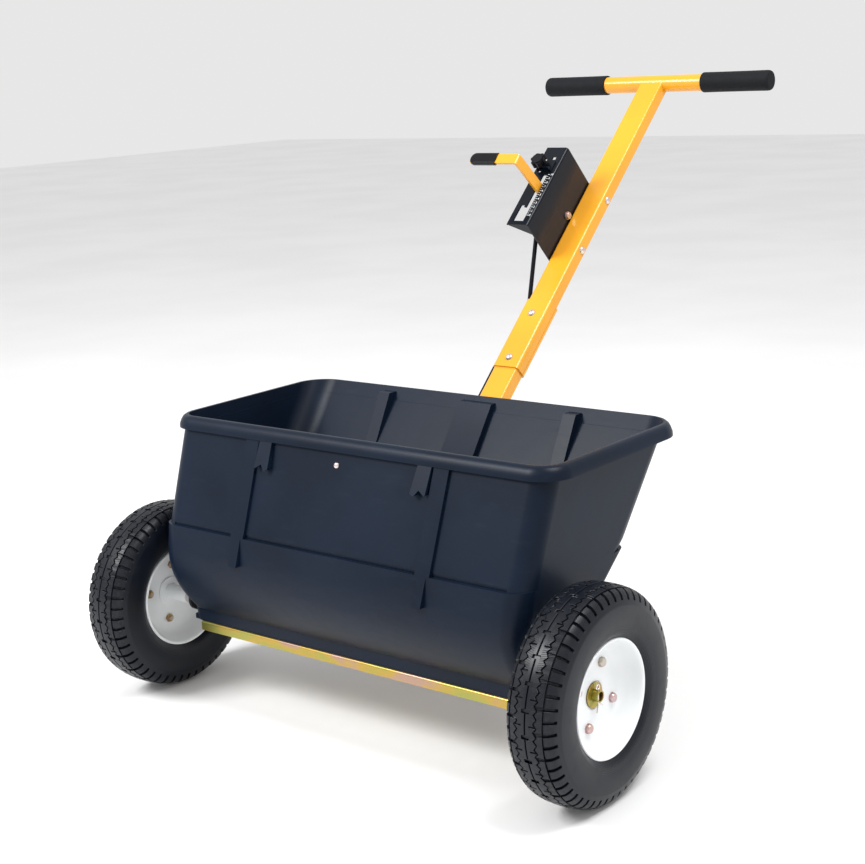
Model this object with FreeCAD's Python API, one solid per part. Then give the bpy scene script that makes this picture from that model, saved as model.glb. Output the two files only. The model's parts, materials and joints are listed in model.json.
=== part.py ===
import FreeCAD, Part
import os
from math import cos, degrees, radians, sin, tan

# Push drop spreader: moulded hopper over an axle trough, two tyred wheels, a sloping
# handle column with a T bar, a rate lever on a sheet-metal bracket and a rear stand.
# It is drawn with the axle over y = 0 and stored with y moved so that the origin is
# under the middle of the footprint. X runs along the axle, Y goes back to the handle.

V = FreeCAD.Vector

# wheels and axle
TYRE_R = 165.0
TYRE_W = 91.0
WHEEL_X = 450.5
AXLE_Z = TYRE_R
AXLE_R = 9.0
AXLE_BORE_R = 7.0
AXLE_END = 468.0
FIT = 0.05
RIM_T = 2.0
RIM_FLANGE_R = 86.5
RIM_FLANGE_X = 34.0
RIM_SEAT_R = 75.5
RIM_DISC_X = 4.5
HUB_R = 14.0
HUB_BORE_R = 12.0
HUB_IN = 398.0
HUB_OUT = 455.5
DRIVE_PIN_X = 428.0
BOLT_CIRCLE_R = 49.0
BOLT_TURN_RIGHT = 23.0
BOLT_TURN_LEFT = 9.0
WHEEL_BOLTS = 4

# hopper, by height: half width, front and rear outer faces, corner radii
WALL = 4.0
RIM_TOP = 497.0
LIP_BOTTOM = 476.0
CREASE_Z = 321.0
TROUGH_TOP = 160.0
HOPPER_BOTTOM = 136.0
REAR_KINK_Z = 336.0
REAR_KINK_Y = 238.5
REAR_UPPER_SLOPE = 0.74
REAR_LOWER_SLOPE = 1.15
FRONT_TOP_Y = -5.0
FRONT_CREASE_Y = -62.0
FRONT_CORNER_R = 35.0
REAR_CORNER_R = 52.0
TROUGH_FRONT = -22.0
TROUGH_REAR = 38.0
CREASE_GROOVE = 6.0
INNER_STEP_Z = 475.0
RIB_X = 200.0
RIB_STAND = 5.0
HOOK_X = 168.0
REAR_RIB_X = 202.0
REAR_RIB_HALF = 12.5
CHANNEL_HALF = 31.0
CHANNEL_DEEP = 12.0
FOOT_HALF = 38.0
FRONT_BOLT_X = -12.0
FRONT_BOLT_Z = 455.0

# bottom plate, metering slots and shutter
PLATE_T = 2.0
PLATE_HALF = 346.0
BAR_LOW = 120.0
SLOT_COUNT = 14
SLOT_PITCH = 47.0
SLOT_FRONT = 2.0
SLOT_REAR = 28.0
SLOT_R = 5.0
SHUTTER_FRONT = 21.3
SHUTTER_HALF = 320.0
SHUTTER_GAP = 0.6
PLATE_SCREW_X = 337.0

# handle column: s runs up its front face, n stands off that face
COLUMN_Y = 389.1
COLUMN_Z = 500.3
COLUMN_ANGLE = 42.873
COLUMN_W = 50.0
COLUMN_D = 27.0
COLUMN_R = 5.0
TUBE_WALL = 1.6
UPPER_START = 128.0
UPPER_END = 752.0
LOWER_TOP = 127.0
LOWER_END = -430.0
SLEEVE_LOW = 52.5
SLEEVE_HIGH = 203.5
SLEEVE_T = 3.0
SEAM_N = -19.0
SPLICE_BOLTS = (72.8, 172.6)
HOPPER_BOLTS = (-242.0, -345.0)
STAND_BOLTS = (-68.0, -118.0)
BRACKET_BOLTS = (335.0, 456.5)
FOOT_BOLT_S = -405.0
BAR_Y = 952.0
BAR_Z = 1005.0
BAR_R = 16.0
BAR_HALF = 246.0
GRIP_R = 19.0
GRIP_START = 108.0
GRIP_END = 250.0

# control bracket, lever, rod and rate stop
BRACKET_T = 2.5
BRACKET_LOW = 299.5
BRACKET_HIGH = 487.5
PANEL_N = 96.0
PANEL_EDGE = -71.0
LEVER_S = 396.5
LEVER_N = 10.0
LEVER_LEAN = 5.3
LEVER_X = -43.0
LEVER_W = 20.0
LEVER_T = 5.0
LEVER_BEND_N = 181.0
LEVER_TIP = -144.0
LEVER_GRIP_START = -88.0
VINYL_T = 2.2
ROD_X = -51.0
ROD_R = 4.0
HOOK_R = 3.0
ROD_ARM = 42.5
ROD_TRAVEL = 48.0
ROD_SHOULDER_S = 358.0
ROD_HIP_S = 228.0
ROD_BACK_N = -34.0
ROD_END_Y = 110.0
ROD_END_Z = 165.0
STOP_EDGE = 428.0
KNOB_S = 440.0
KNOB_X = -60.0

# stand
STAND_R = 11.0
STAND_Y = 310.0
STAND_N = -COLUMN_D - STAND_R - 0.5

# stored frame: the footprint runs from the tyres' front to the grips' rear
FOOTPRINT_MID = (BAR_Y + GRIP_R - TYRE_R) / 2

MID_N = -COLUMN_D / 2
SLOPE = radians(COLUMN_ANGLE)
ALONG = V(0, cos(SLOPE), sin(SLOPE))
OFF = V(0, -sin(SLOPE), cos(SLOPE))


def on_column(x, s, n):
    return V(x, COLUMN_Y, COLUMN_Z) + ALONG * s + OFF * n


# ---------- drawing helpers ----------

def rounded_wire(points, place):
    """Closed wire through (a, b, radius) corners, with tangent arcs at the corners."""
    count = len(points)
    starts = []
    for i in range(count):
        a, b, r = points[i]
        here = V(a, b, 0)
        before = V(*points[i - 1][:2], 0) - here
        after = V(*points[(i + 1) % count][:2], 0) - here
        before.normalize()
        after.normalize()
        if r <= 0:
            starts.append((here, None, here))
            continue
        half = before.getAngle(after) / 2
        back = r / tan(half)
        middle = (before + after).normalize()
        centre = here + middle * (r / sin(half))
        starts.append((here + before * back, centre - middle * r, here + after * back))
    edges = []
    for i in range(count):
        first, mid, last = starts[i]
        if mid is not None:
            edges.append(Part.Arc(place(first.x, first.y), place(mid.x, mid.y),
                                  place(last.x, last.y)).toShape())
        following = starts[(i + 1) % count][0]
        if (following - last).Length > 1e-6:
            edges.append(Part.makeLine(place(last.x, last.y), place(following.x, following.y)))
    return Part.Wire(edges)


def plate(points, place, push):
    """Flat plate with rounded corners, pushed along a vector."""
    return Part.Face(rounded_wire(points, place)).extrude(push)


def ribbon(path, thickness):
    """Outline of a bent strip about a centre line of (a, b, radius) points."""
    left = []
    right = []
    half = thickness / 2
    for i, (a, b, r) in enumerate(path):
        here = V(a, b, 0)
        into = here - V(*path[max(i - 1, 0)][:2], 0)
        out = V(*path[min(i + 1, len(path) - 1)][:2], 0) - here
        if into.Length < 1e-9:
            into = V(out)
        if out.Length < 1e-9:
            out = V(into)
        into.normalize()
        out.normalize()
        normal_in = V(-into.y, into.x, 0)
        normal_out = V(-out.y, out.x, 0)
        middle = (normal_in + normal_out).normalize()
        reach = half / middle.dot(normal_in)
        turn = into.x * out.y - into.y * out.x
        grow = half if turn < 0 else -half
        if abs(turn) < 1e-6:
            grow = 0
        sharp = 0 if r == 0 else 1
        p = here + middle * reach
        q = here - middle * reach
        left.append((p.x, p.y, sharp * max(r + grow, 0)))
        right.append((q.x, q.y, sharp * max(r - grow, 0)))
    return left + right[::-1]


def box(x0, x1, y0, y1, z0, z1):
    return Part.makeBox(x1 - x0, y1 - y0, z1 - z0, V(x0, y0, z0))


def rod_between(a, b, r):
    return Part.makeCylinder(r, (b - a).Length, a, b - a)


def ring(a, b, outer, inner):
    return rod_between(a, b, outer).cut(rod_between(a - (b - a), b + (b - a), inner))


def bent_wire(points, radius, bends):
    """Round bar along straight runs with tangent bends."""
    bar = None
    runs = []
    start = points[0]
    for i in range(1, len(points) - 1):
        here = points[i]
        back = (points[i - 1] - here).normalize()
        ahead = (points[i + 1] - here).normalize()
        half = back.getAngle(ahead) / 2
        trim = bends / tan(half)
        middle = (back + ahead).normalize()
        centre = here + middle * (bends / sin(half))
        first = here + back * trim
        last = here + ahead * trim
        runs.append(Part.makeLine(start, first))
        runs.append(Part.Arc(first, centre - middle * bends, last).toShape())
        start = last
    runs.append(Part.makeLine(start, points[-1]))
    for edge in runs:
        if edge.Curve.TypeId == "Part::GeomLine":
            piece = rod_between(edge.Vertexes[0].Point, edge.Vertexes[-1].Point, radius)
        else:
            at = edge.valueAt(edge.FirstParameter)
            section = Part.Face(Part.Wire(Part.makeCircle(radius, at,
                                edge.tangentAt(edge.FirstParameter))))
            sweep = edge.LastParameter - edge.FirstParameter
            piece = section.revolve(edge.Curve.Center, edge.Curve.Axis, degrees(sweep))
        bar = piece if bar is None else bar.fuse(piece)
    return bar.removeSplitter()


def hexagon(centre, axis, across, height):
    """Hexagonal prism with chamfered corners, standing on centre along axis."""
    axis = V(axis).normalize()
    side = axis.cross(V(1, 0, 0)) if abs(axis.x) < 0.9 else axis.cross(V(0, 0, 1))
    side.normalize()
    other = axis.cross(side)
    corner = across / 2 / cos(radians(30))
    points = []
    for i in range(7):
        turn = radians(60 * i)
        points.append(centre + side * (corner * cos(turn)) + other * (corner * sin(turn)))
    prism = Part.Face(Part.makePolygon(points)).extrude(axis * height)
    cone = Part.makeCone(corner + height * 0.9, across * 0.46, height * 1.9,
                         centre - axis * (height * 0.9), axis)
    return prism.common(cone)


def bolt(head_at, axis, length, r=4.0, across=13.0, head=5.0):
    """Bolt whose head bears at head_at and whose shank runs along axis."""
    axis = V(axis).normalize()
    washer = rod_between(head_at, head_at - axis * 1.2, across * 0.6)
    cap = hexagon(head_at - axis * 1.2, axis * -1, across, head)
    shank = rod_between(head_at - axis, head_at + axis * length, r)
    return washer.fuse([cap, shank]).removeSplitter()


def nut(at, axis, r=4.0, across=13.0, high=6.0):
    """Nut that bears at a face and stands away from it along axis."""
    axis = V(axis).normalize()
    return hexagon(at, axis, across, high).cut(rod_between(at - axis, at + axis * (high + 1), r))


def rect_tube(s0, s1, w, d, n_top, r, wall):
    """Rectangular tube along the column with rounded corners."""
    def section(inset):
        half = w / 2 - inset
        high = n_top - inset
        low = n_top - d + inset
        radius = max(r - inset, 0.5)
        return [(-half, low, radius), (half, low, radius), (half, high, radius), (-half, high, radius)]

    def place(a, b):
        return on_column(a, s0, b)
    outer = plate(section(0), place, ALONG * (s1 - s0))
    inner = plate(section(wall), lambda a, b: on_column(a, s0 - 5, b), ALONG * (s1 - s0 + 10))
    return outer.cut(inner)


# ---------- wheels ----------

def around_axle(wire):
    return Part.Face(wire).revolve(V(0, 0, AXLE_Z), V(1, 0, 0), 360)


def wheel_place(side):
    return lambda x, r: V(side * (WHEEL_X + x), 0, AXLE_Z + r)


def tyre(side):
    place = wheel_place(side)
    half = TYRE_W / 2
    outer = [(33, 87.5), (39, 91), (half - 1.5, 105), (half, 126), (half - 4, 147), (31, 160.5), (0, TYRE_R)]
    inner = [(26, 80), (30.5, 88), (half - 9, 106), (half - 8, 126), (half - 12, 143), (24, 153), (0, 156.5)]

    def curve(points):
        mirrored = [(-x, r) for x, r in points[:-1]]
        line = Part.BSplineCurve()
        line.interpolate([place(x, r) for x, r in mirrored + points[::-1]])
        return line.toShape()
    seat = 77.0
    bottom_out = [place(33, 87.5), place(33, seat + 3), place(30, seat), place(26, seat), place(26, 80)]
    bottom_in = [place(-33, 87.5), place(-33, seat + 3), place(-30, seat), place(-26, seat), place(-26, 80)]
    wire = Part.Wire(Part.__sortEdges__([curve(outer), curve(inner)]
                     + Part.makePolygon(bottom_out).Edges + Part.makePolygon(bottom_in).Edges))
    return around_axle(wire)


def rim_half(side, outboard):
    """Pressed steel half: rolled flange, bead seat and disc."""
    place = wheel_place(side)
    disc = RIM_DISC_X + RIM_T / 2 * outboard
    hole = 21.5 if outboard > 0 else HUB_R
    path = [(outboard * (RIM_FLANGE_X + 3), RIM_FLANGE_R, 0),
            (outboard * RIM_FLANGE_X, RIM_FLANGE_R - 4.5, 2.5),
            (outboard * RIM_FLANGE_X, RIM_SEAT_R, 3.0),
            (disc, RIM_SEAT_R - 2, 7.0),
            (disc, hole, 0)]
    body = around_axle(rounded_wire(ribbon(path, RIM_T), place))
    for at in bolt_places(side):
        body = body.cut(rod_between(at - V(20, 0, 0), at + V(20, 0, 0), 4.2))
    return body


def bolt_places(side):
    places = []
    first = BOLT_TURN_RIGHT if side > 0 else BOLT_TURN_LEFT
    for i in range(WHEEL_BOLTS):
        turn = radians(first + 360 / WHEEL_BOLTS * i)
        places.append(V(side * WHEEL_X, BOLT_CIRCLE_R * sin(turn), AXLE_Z + BOLT_CIRCLE_R * cos(turn)))
    return places


def wheel_bolts(side):
    out = side * (RIM_DISC_X + RIM_T)
    return [bolt(at + V(out, 0, 0), V(-side, 0, 0), 12.0) for at in bolt_places(side)]


def wheel_nuts(side):
    back = side * (RIM_DISC_X - RIM_T)
    return [nut(at + V(back, 0, 0), V(-side, 0, 0)) for at in bolt_places(side)]


def on_axle(x):
    return V(x, 0, AXLE_Z)


def hub(side):
    """Hub tube with a welded collar behind the rim disc."""
    tube = ring(on_axle(side * HUB_IN), on_axle(side * HUB_OUT), HUB_R, HUB_BORE_R)
    back = WHEEL_X + RIM_DISC_X - RIM_T
    collar = ring(on_axle(side * (back - 3)), on_axle(side * back), 26.0, HUB_R - 0.5)
    body = tube.fuse(collar).removeSplitter()
    if side > 0:
        at = on_axle(DRIVE_PIN_X)
        body = body.cut(rod_between(at - V(0, 20, 0), at + V(0, 20, 0), 2.5))
    return body


def hub_bushes(side):
    inner = AXLE_R + FIT
    first = ring(on_axle(side * HUB_IN), on_axle(side * (HUB_IN + 22)), HUB_BORE_R, inner)
    last = ring(on_axle(side * (HUB_OUT - 22)), on_axle(side * HUB_OUT), HUB_BORE_R, inner)
    return [first, last]


def axle():
    body = ring(on_axle(-AXLE_END), on_axle(AXLE_END), AXLE_R, AXLE_BORE_R)
    for side in (-1, 1):
        at = on_axle(side * (AXLE_END - 4.5))
        body = body.cut(rod_between(at - V(0, 0, 12), at + V(0, 0, 12), 1.7))
    at = on_axle(DRIVE_PIN_X)
    body = body.cut(rod_between(at - V(0, 20, 0), at + V(0, 20, 0), 2.5))
    for first, last in agitator_places():
        body = body.cut(rod_between(first, last, 2.5))
    return body


def axle_washer(side):
    return ring(on_axle(side * (HUB_OUT + 0.5)), on_axle(side * (HUB_OUT + 2.7)), 19.5, AXLE_R + 0.1)


def cotter(side):
    """Split pin: an eye on top, a shank through the axle and two spread legs."""
    x = side * (AXLE_END - 4.5)
    top = V(x, 0, AXLE_Z + AXLE_R + 1)
    eye = Part.makeTorus(3.6, 1.3, top + V(0, 0, 3.4), V(1, 0, 0))
    shank = rod_between(top + V(0, 0, -1), V(x, 0, AXLE_Z - AXLE_R - 2), 1.5)
    foot = V(x, 0, AXLE_Z - AXLE_R - 1.6)
    leg_a = rod_between(foot, foot + V(side * 2.5, -7, -13), 1.0)
    leg_b = rod_between(foot, foot + V(side * 2.5, 8, -6), 1.0)
    return shank.fuse([eye, leg_a, leg_b]).removeSplitter()


def spacer(side):
    return ring(on_axle(side * 382.5), on_axle(side * (HUB_IN - 0.5)), 12.5, AXLE_R)


def agitator():
    """Cross pins through the axle that stir the trough."""
    return [rod_between(first, last, 2.5) for first, last in agitator_places()]


def agitator_places():
    """Ends of the cross pins, each turned an eighth against the last."""
    places = []
    for i in range(10):
        middle = on_axle(-315 + 70 * i)
        turn = radians(45 * i)
        across = V(0, 15.5 * sin(turn), 15.5 * cos(turn))
        places.append((middle - across, middle + across))
    return places


def drive_pin():
    at = on_axle(DRIVE_PIN_X)
    return rod_between(at - V(0, HUB_R + 3, 0), at + V(0, HUB_R + 3, 0), 2.5)


# ---------- hopper ----------

def front_upper(z):
    return FRONT_TOP_Y + (z - LIP_BOTTOM) * (FRONT_TOP_Y - FRONT_CREASE_Y) / (LIP_BOTTOM - CREASE_Z)


def rear_face(z):
    slope = REAR_UPPER_SLOPE if z > REAR_KINK_Z else REAR_LOWER_SLOPE
    return REAR_KINK_Y + (z - REAR_KINK_Z) * slope


def half_width(z):
    if z > CREASE_Z:
        return 383 + (z - CREASE_Z) * 7 / (LIP_BOTTOM - CREASE_Z)
    return 383 - (CREASE_Z - z) * 0.055


def level(z, half, front, rear, front_r, rear_r):
    """Level outline of the hopper: a rectangle with rounded corners."""
    return rounded_wire([(-half, front, front_r), (half, front, front_r),
                         (half, rear, rear_r), (-half, rear, rear_r)], lambda a, b: V(a, b, z))


def upper_level(z, inset):
    """Outline of the funnel above the crease, set in from the outer face."""
    return level(z, half_width(z) - inset, front_upper(z) + inset, rear_face(z) - inset,
                 FRONT_CORNER_R - inset, REAR_CORNER_R - inset)


BELLY = [(CREASE_Z, -67.0), (300, -71.0), (277, -75.0), (255, -76.0), (236, -73.0), (216, -65.5),
         (196, -54.5), (178, -42.0), (TROUGH_TOP, -27.0)]


def belly_levels(inset, ceiling):
    """Outlines of the bulging front below the crease, from the ceiling down to the trough."""
    levels = []
    for z, front in BELLY:
        z = min(z, ceiling)
        levels.append(level(z, half_width(z) - inset, front + inset, rear_face(z) - inset * 1.3,
                            FRONT_CORNER_R - inset, 34 - inset))
    return levels


def trough_levels(inset, floor):
    levels = []
    for z, half in ((TROUGH_TOP, 372.0), (floor, 368.0)):
        levels.append(level(z, half - inset, TROUGH_FRONT + inset, TROUGH_REAR - inset, 20 - inset / 2,
                            20 - inset / 2))
    return levels


def loft(levels, ruled=True):
    return Part.makeLoft(levels, True, ruled)


def rear_strip(half, low, high, out, into):
    """Slanted block that follows the rear wall, from out behind it to into ahead of it."""
    points = [(rear_face(low) + out, low, 0), (REAR_KINK_Y + out, REAR_KINK_Z, 0),
              (rear_face(high) + out, high, 0), (rear_face(high) - into, high, 0),
              (REAR_KINK_Y - into, REAR_KINK_Z, 0), (rear_face(low) - into, low, 0)]
    return plate(points, lambda a, b: V(-half, a, b), V(2 * half, 0, 0))


def column_bed(half, n_top, s_low, s_high):
    """Straight block around the lower tube's seat in the rear wall."""
    points = [(-half, -80, 0), (half, -80, 0), (half, n_top, 0), (-half, n_top, 0)]
    return plate(points, lambda a, b: on_column(a, s_low, b), ALONG * (s_high - s_low))


def lip():
    """Rolled rim: a skirt that turns out and down from the top edge."""
    sizes = [(LIP_BOTTOM, 405.5, -12.0, 364.0, 50, 62), (482, 404.8, -11.2, 363.4, 49, 61),
             (489, 401.8, -8.2, 361.2, 46, 58), (494, 398.2, -4.4, 358.8, 42, 54),
             (RIM_TOP, 393.0, 0.8, 356.2, 37, 50)]
    outer = loft([level(*size) for size in sizes])
    under = loft([level(LIP_BOTTOM - 1, 402.2, -8.7, 360.7, 47, 59), level(491, 394.5, -0.4, 356.2, 41, 53)])
    return outer, under


def front_rib(x):
    """Raised rib down the front wall, wide above the crease and narrow below it."""
    lean = 3.0 if x < 0 else -3.0
    tops = []
    for z in (LIP_BOTTOM + 2, CREASE_Z, CREASE_Z - 46):
        tops.append(V(x + lean * (LIP_BOTTOM - z) / 155, front_upper(z) - RIB_STAND, z))
    back = V(0, 14, 0)
    body = None
    for first, last, half in ((tops[0], tops[1], 14.5), (tops[1], tops[2], 8.5)):
        side = V(half, 0, 0)
        outline = [first - side, first + side, last + side, last - side, first - side]
        piece = Part.Face(Part.makePolygon(outline)).extrude(back)
        body = piece if body is None else body.fuse(piece)
    return body


def rim_hook(x, side):
    """Notched tab that hangs under the lip beside a rib and flares away from it."""
    top_z, low_z = LIP_BOTTOM + 2, LIP_BOTTOM - 45
    points = [(x - 14, top_z, 0), (x + 13, top_z, 0), (x + 17, low_z + 4, 2), (x + 9, low_z, 2),
              (x + 1, low_z + 10, 0), (x - 13, low_z + 2, 2)]
    points = [(x + (a - x) * side, b, r) for a, b, r in points]
    block = plate(points, lambda a, b: V(a, -40, b), V(0, 70, 0))
    slab = plate([(front_upper(480) - 6, 480, 0), (front_upper(480) + 3, 480, 0),
                  (front_upper(420) + 3, 420, 0), (front_upper(420) - 12, 420, 0)],
                 lambda a, b: V(x - 25, a, b), V(50, 0, 0))
    return block.common(slab)


def rear_rib(x):
    """Stiffening rib inside the rear wall, standing out most under the rim."""
    points = [(348, 490, 0), (329, 490, 0), (rear_face(412) - WALL - 4, 412, 0),
              (REAR_KINK_Y - WALL - 4, REAR_KINK_Z, 0), (rear_face(195) - WALL - 4, 195, 0),
              (rear_face(195) - 1, 195, 0), (REAR_KINK_Y - 1, REAR_KINK_Z, 0)]
    return plate(points, lambda a, b: V(x - REAR_RIB_HALF, a, b), V(2 * REAR_RIB_HALF, 0, 0))


def crease_groove():
    """Shadow line cut along the front above the crease, broken at the ribs."""
    inner_edge = RIB_X - 17
    outer_edge = RIB_X + 12
    cuts = []
    for x0, x1 in ((-352, -outer_edge), (-inner_edge, inner_edge), (outer_edge, 352)):
        cuts.append(box(x0, x1, FRONT_CREASE_Y - 20, FRONT_CREASE_Y + 2.5, CREASE_Z, CREASE_Z + CREASE_GROOVE))
    return cuts


def hopper():
    """Moulded tub: funnel, bulging belly and axle trough, with ribs, lip and column seat."""
    ceiling = CREASE_Z - WALL
    funnel = loft([upper_level(z, 0) for z in (CREASE_Z, REAR_KINK_Z, RIM_TOP)])
    wall = funnel.fuse([loft(belly_levels(0, CREASE_Z), False), loft(trough_levels(0, HOPPER_BOTTOM))])
    rolled, under = lip()
    shell = wall.fuse(rolled.cut(under.cut(funnel)))
    for x in (-RIB_X, RIB_X):
        shell = shell.fuse(front_rib(x))
    shell = shell.fuse([rim_hook(-HOOK_X, 1), rim_hook(HOOK_X, -1)])
    for groove in crease_groove():
        shell = shell.cut(groove)
    sill = level(ceiling, half_width(CREASE_Z) - WALL, front_upper(CREASE_Z) + WALL, rear_face(ceiling) - WALL,
                 FRONT_CORNER_R - WALL, REAR_CORNER_R - WALL)
    step = 1.2
    belly = belly_levels(WALL, ceiling)[1:]
    inner = loft([belly[0], sill, upper_level(REAR_KINK_Z, WALL), upper_level(INNER_STEP_Z, WALL)])
    inner = inner.fuse([loft([upper_level(INNER_STEP_Z, WALL - step), upper_level(RIM_TOP + 2, WALL - step)]),
                        loft(belly, False),
                        loft(trough_levels(WALL, HOPPER_BOTTOM - 2))])
    bed_low = -470.0
    seat = rear_strip(CHANNEL_HALF + WALL, 186, 489, 0, CHANNEL_DEEP + WALL)
    seat = seat.fuse([column_bed(CHANNEL_HALF + WALL, 2 + WALL, bed_low + 8, -60),
                      column_bed(FOOT_HALF + WALL, 2 + WALL, bed_low + 8, -378)])
    for x in (-REAR_RIB_X, REAR_RIB_X):
        seat = seat.fuse(rear_rib(x))
    shell = shell.cut(inner).fuse(seat.common(inner))
    shell = shell.cut(rear_strip(CHANNEL_HALF, 180, LIP_BOTTOM - 8, 30, CHANNEL_DEEP))
    shell = shell.cut(column_bed(CHANNEL_HALF, 2, bed_low, -20))
    shell = shell.cut(column_bed(FOOT_HALF, 2, bed_low, -382))
    shell = shell.cut(rod_between(on_axle(-420), on_axle(420), 13.0))
    front = front_bolt_place()
    shell = shell.cut(rod_between(front - FRONT_IN * 30, front + FRONT_IN * 30, 3.2))
    for s in HOPPER_BOLTS:
        shell = shell.cut(rod_between(on_column(0, s, -20), on_column(0, s, 40), 3.2))
    return shell.removeSplitter()


FRONT_IN = V(0, LIP_BOTTOM - CREASE_Z, FRONT_CREASE_Y - FRONT_TOP_Y).normalize()


def front_bolt_place():
    return V(FRONT_BOLT_X, front_upper(FRONT_BOLT_Z), FRONT_BOLT_Z)


def front_bolt():
    at = front_bolt_place()
    return bolt(at, FRONT_IN, 14, 3.0, 10.0, 3.4), nut(at + FRONT_IN * WALL, FRONT_IN, 3.0, 10.0, 5.0)


def hopper_bolts():
    """Bolts from inside the hopper's column seat through the lower tube."""
    floor = 2 + WALL
    back = -COLUMN_D
    heads = [bolt(on_column(0, s, floor), OFF * -1, floor - back + 8, 3.0, 10.0, 3.4) for s in HOPPER_BOLTS]
    nuts = [nut(on_column(0, s, back), OFF * -1, 3.0, 10.0, 5.0) for s in HOPPER_BOLTS]
    return heads, nuts


# ---------- bottom plate and shutter ----------

def slot_places():
    return [(i - (SLOT_COUNT - 1) / 2) * SLOT_PITCH for i in range(SLOT_COUNT)]


def metering_slot(x):
    return plate([(x - SLOT_R, SLOT_FRONT, SLOT_R - 0.1), (x + SLOT_R, SLOT_FRONT, SLOT_R - 0.1),
                  (x + SLOT_R, SLOT_REAR, SLOT_R - 0.1), (x - SLOT_R, SLOT_REAR, SLOT_R - 0.1)],
                 lambda a, b: V(a, b, HOPPER_BOTTOM - 10), V(0, 0, 20))


def bottom_plate():
    """Zinc-plated floor plate with a deep front flange and a tongue for the rear bracket."""
    top = HOPPER_BOTTOM
    front = TROUGH_FRONT - 3
    section = ribbon([(front, BAR_LOW, 0), (front, top - 1, 2.5), (44, top - 1, 0)], PLATE_T)
    body = plate(section, lambda a, b: V(-PLATE_HALF, a, b), V(2 * PLATE_HALF, 0, 0))
    body = body.fuse(box(-60, 60, 40, 74, top - PLATE_T, top))
    for x in slot_places():
        body = body.cut(metering_slot(x))
    for at in screw_places():
        body = body.cut(rod_between(at - V(0, 0, 9), at + V(0, 0, 9), 2.6))
    for x in (-14, 14):
        body = body.cut(rod_between(V(x, 60, top - 9), V(x, 60, top + 9), 3.1))
    return body.removeSplitter()


def screw_places():
    return [V(x, y, HOPPER_BOTTOM - PLATE_T) for x in (-PLATE_SCREW_X, PLATE_SCREW_X) for y in (-10, 26)]


def plate_screws():
    return [bolt(at, V(0, 0, 1), 8, 2.5, 8.0, 2.5) for at in screw_places()]


def plate_lugs():
    """Moulded feet at the trough ends that take the plate screws."""
    near = PLATE_SCREW_X - 8
    far = 366.0
    lugs = []
    for x in (-far, near):
        lugs.append(box(x, x + far - near, TROUGH_FRONT + 2, TROUGH_REAR - 2, HOPPER_BOTTOM, HOPPER_BOTTOM + 9))
    return lugs


def shutter():
    """Sliding gate under the floor plate, with a tail and a slotted lug for the rod."""
    top = HOPPER_BOTTOM - PLATE_T - SHUTTER_GAP
    body = box(-SHUTTER_HALF, SHUTTER_HALF, SHUTTER_FRONT, SHUTTER_FRONT + 40, top - 2, top)
    body = body.fuse(box(ROD_X - 6, -20, SHUTTER_FRONT + 30, ROD_END_Y + 12, top - 2, top))
    lug = plate([(ROD_END_Y - 10, top - 2, 0), (ROD_END_Y + 12, top - 2, 0), (ROD_END_Y + 12, 182, 6),
                 (ROD_END_Y - 10, 182, 6)], lambda a, b: V(ROD_X + 5.5, a, b), V(3, 0, 0))
    slot = plate([(ROD_END_Y - 3.6, 139.6, 3.5), (ROD_END_Y + 3.6, 139.6, 3.5), (ROD_END_Y + 3.6, 174.6, 3.5),
                  (ROD_END_Y - 3.6, 174.6, 3.5)], lambda a, b: V(ROD_X, a, b), V(12, 0, 0))
    return body.fuse(lug).cut(slot).removeSplitter()


def shutter_guides():
    """Folded strips under the plate that carry the shutter's ends."""
    guides = []
    top = HOPPER_BOTTOM - PLATE_T
    for side in (-1, 1):
        low = top - SHUTTER_GAP - 2 - 0.6
        web = SHUTTER_HALF + 1
        points = [(web + 7, top), (web, top), (web, low), (web - 15, low),
                  (web - 15, low - 2), (web + 2, low - 2), (web + 2, top - 2), (web + 7, top - 2)]
        corners = [V(side * a, -4, b) for a, b in points]
        guides.append(Part.Face(Part.makePolygon(corners + corners[:1])).extrude(V(0, 62, 0)))
    return guides


def axle_bush(side):
    """Flanged nylon bush in the trough's end wall."""
    wall_out = 375.8
    body = ring(on_axle(side * (wall_out - 15)), on_axle(side * (wall_out + 4)), 13.0, AXLE_R + FIT)
    flange = ring(on_axle(side * wall_out), on_axle(side * (wall_out + 6)), 20.0, AXLE_R + FIT)
    return body.fuse(flange).removeSplitter()


# ---------- handle ----------

def lower_tube():
    body = rect_tube(LOWER_END, LOWER_TOP, COLUMN_W, COLUMN_D, 0, COLUMN_R, TUBE_WALL)
    for s in SPLICE_BOLTS[:1] + HOPPER_BOLTS + STAND_BOLTS:
        body = body.cut(rod_between(on_column(0, s, 20), on_column(0, s, -60), 4.2))
    return body.cut(rod_between(on_column(-60, FOOT_BOLT_S, MID_N), on_column(60, FOOT_BOLT_S, MID_N), 4.2))


def upper_tube():
    body = rect_tube(UPPER_START, UPPER_END, COLUMN_W, COLUMN_D, 0, COLUMN_R, TUBE_WALL)
    body = body.cut(rod_between(V(-60, BAR_Y, BAR_Z), V(60, BAR_Y, BAR_Z), BAR_R))
    for s in SPLICE_BOLTS[1:]:
        body = body.cut(rod_between(on_column(0, s, 20), on_column(0, s, -60), 4.2))
    for s in BRACKET_BOLTS:
        body = body.cut(rod_between(on_column(-60, s, MID_N), on_column(60, s, MID_N), 4.2))
    return body


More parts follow.
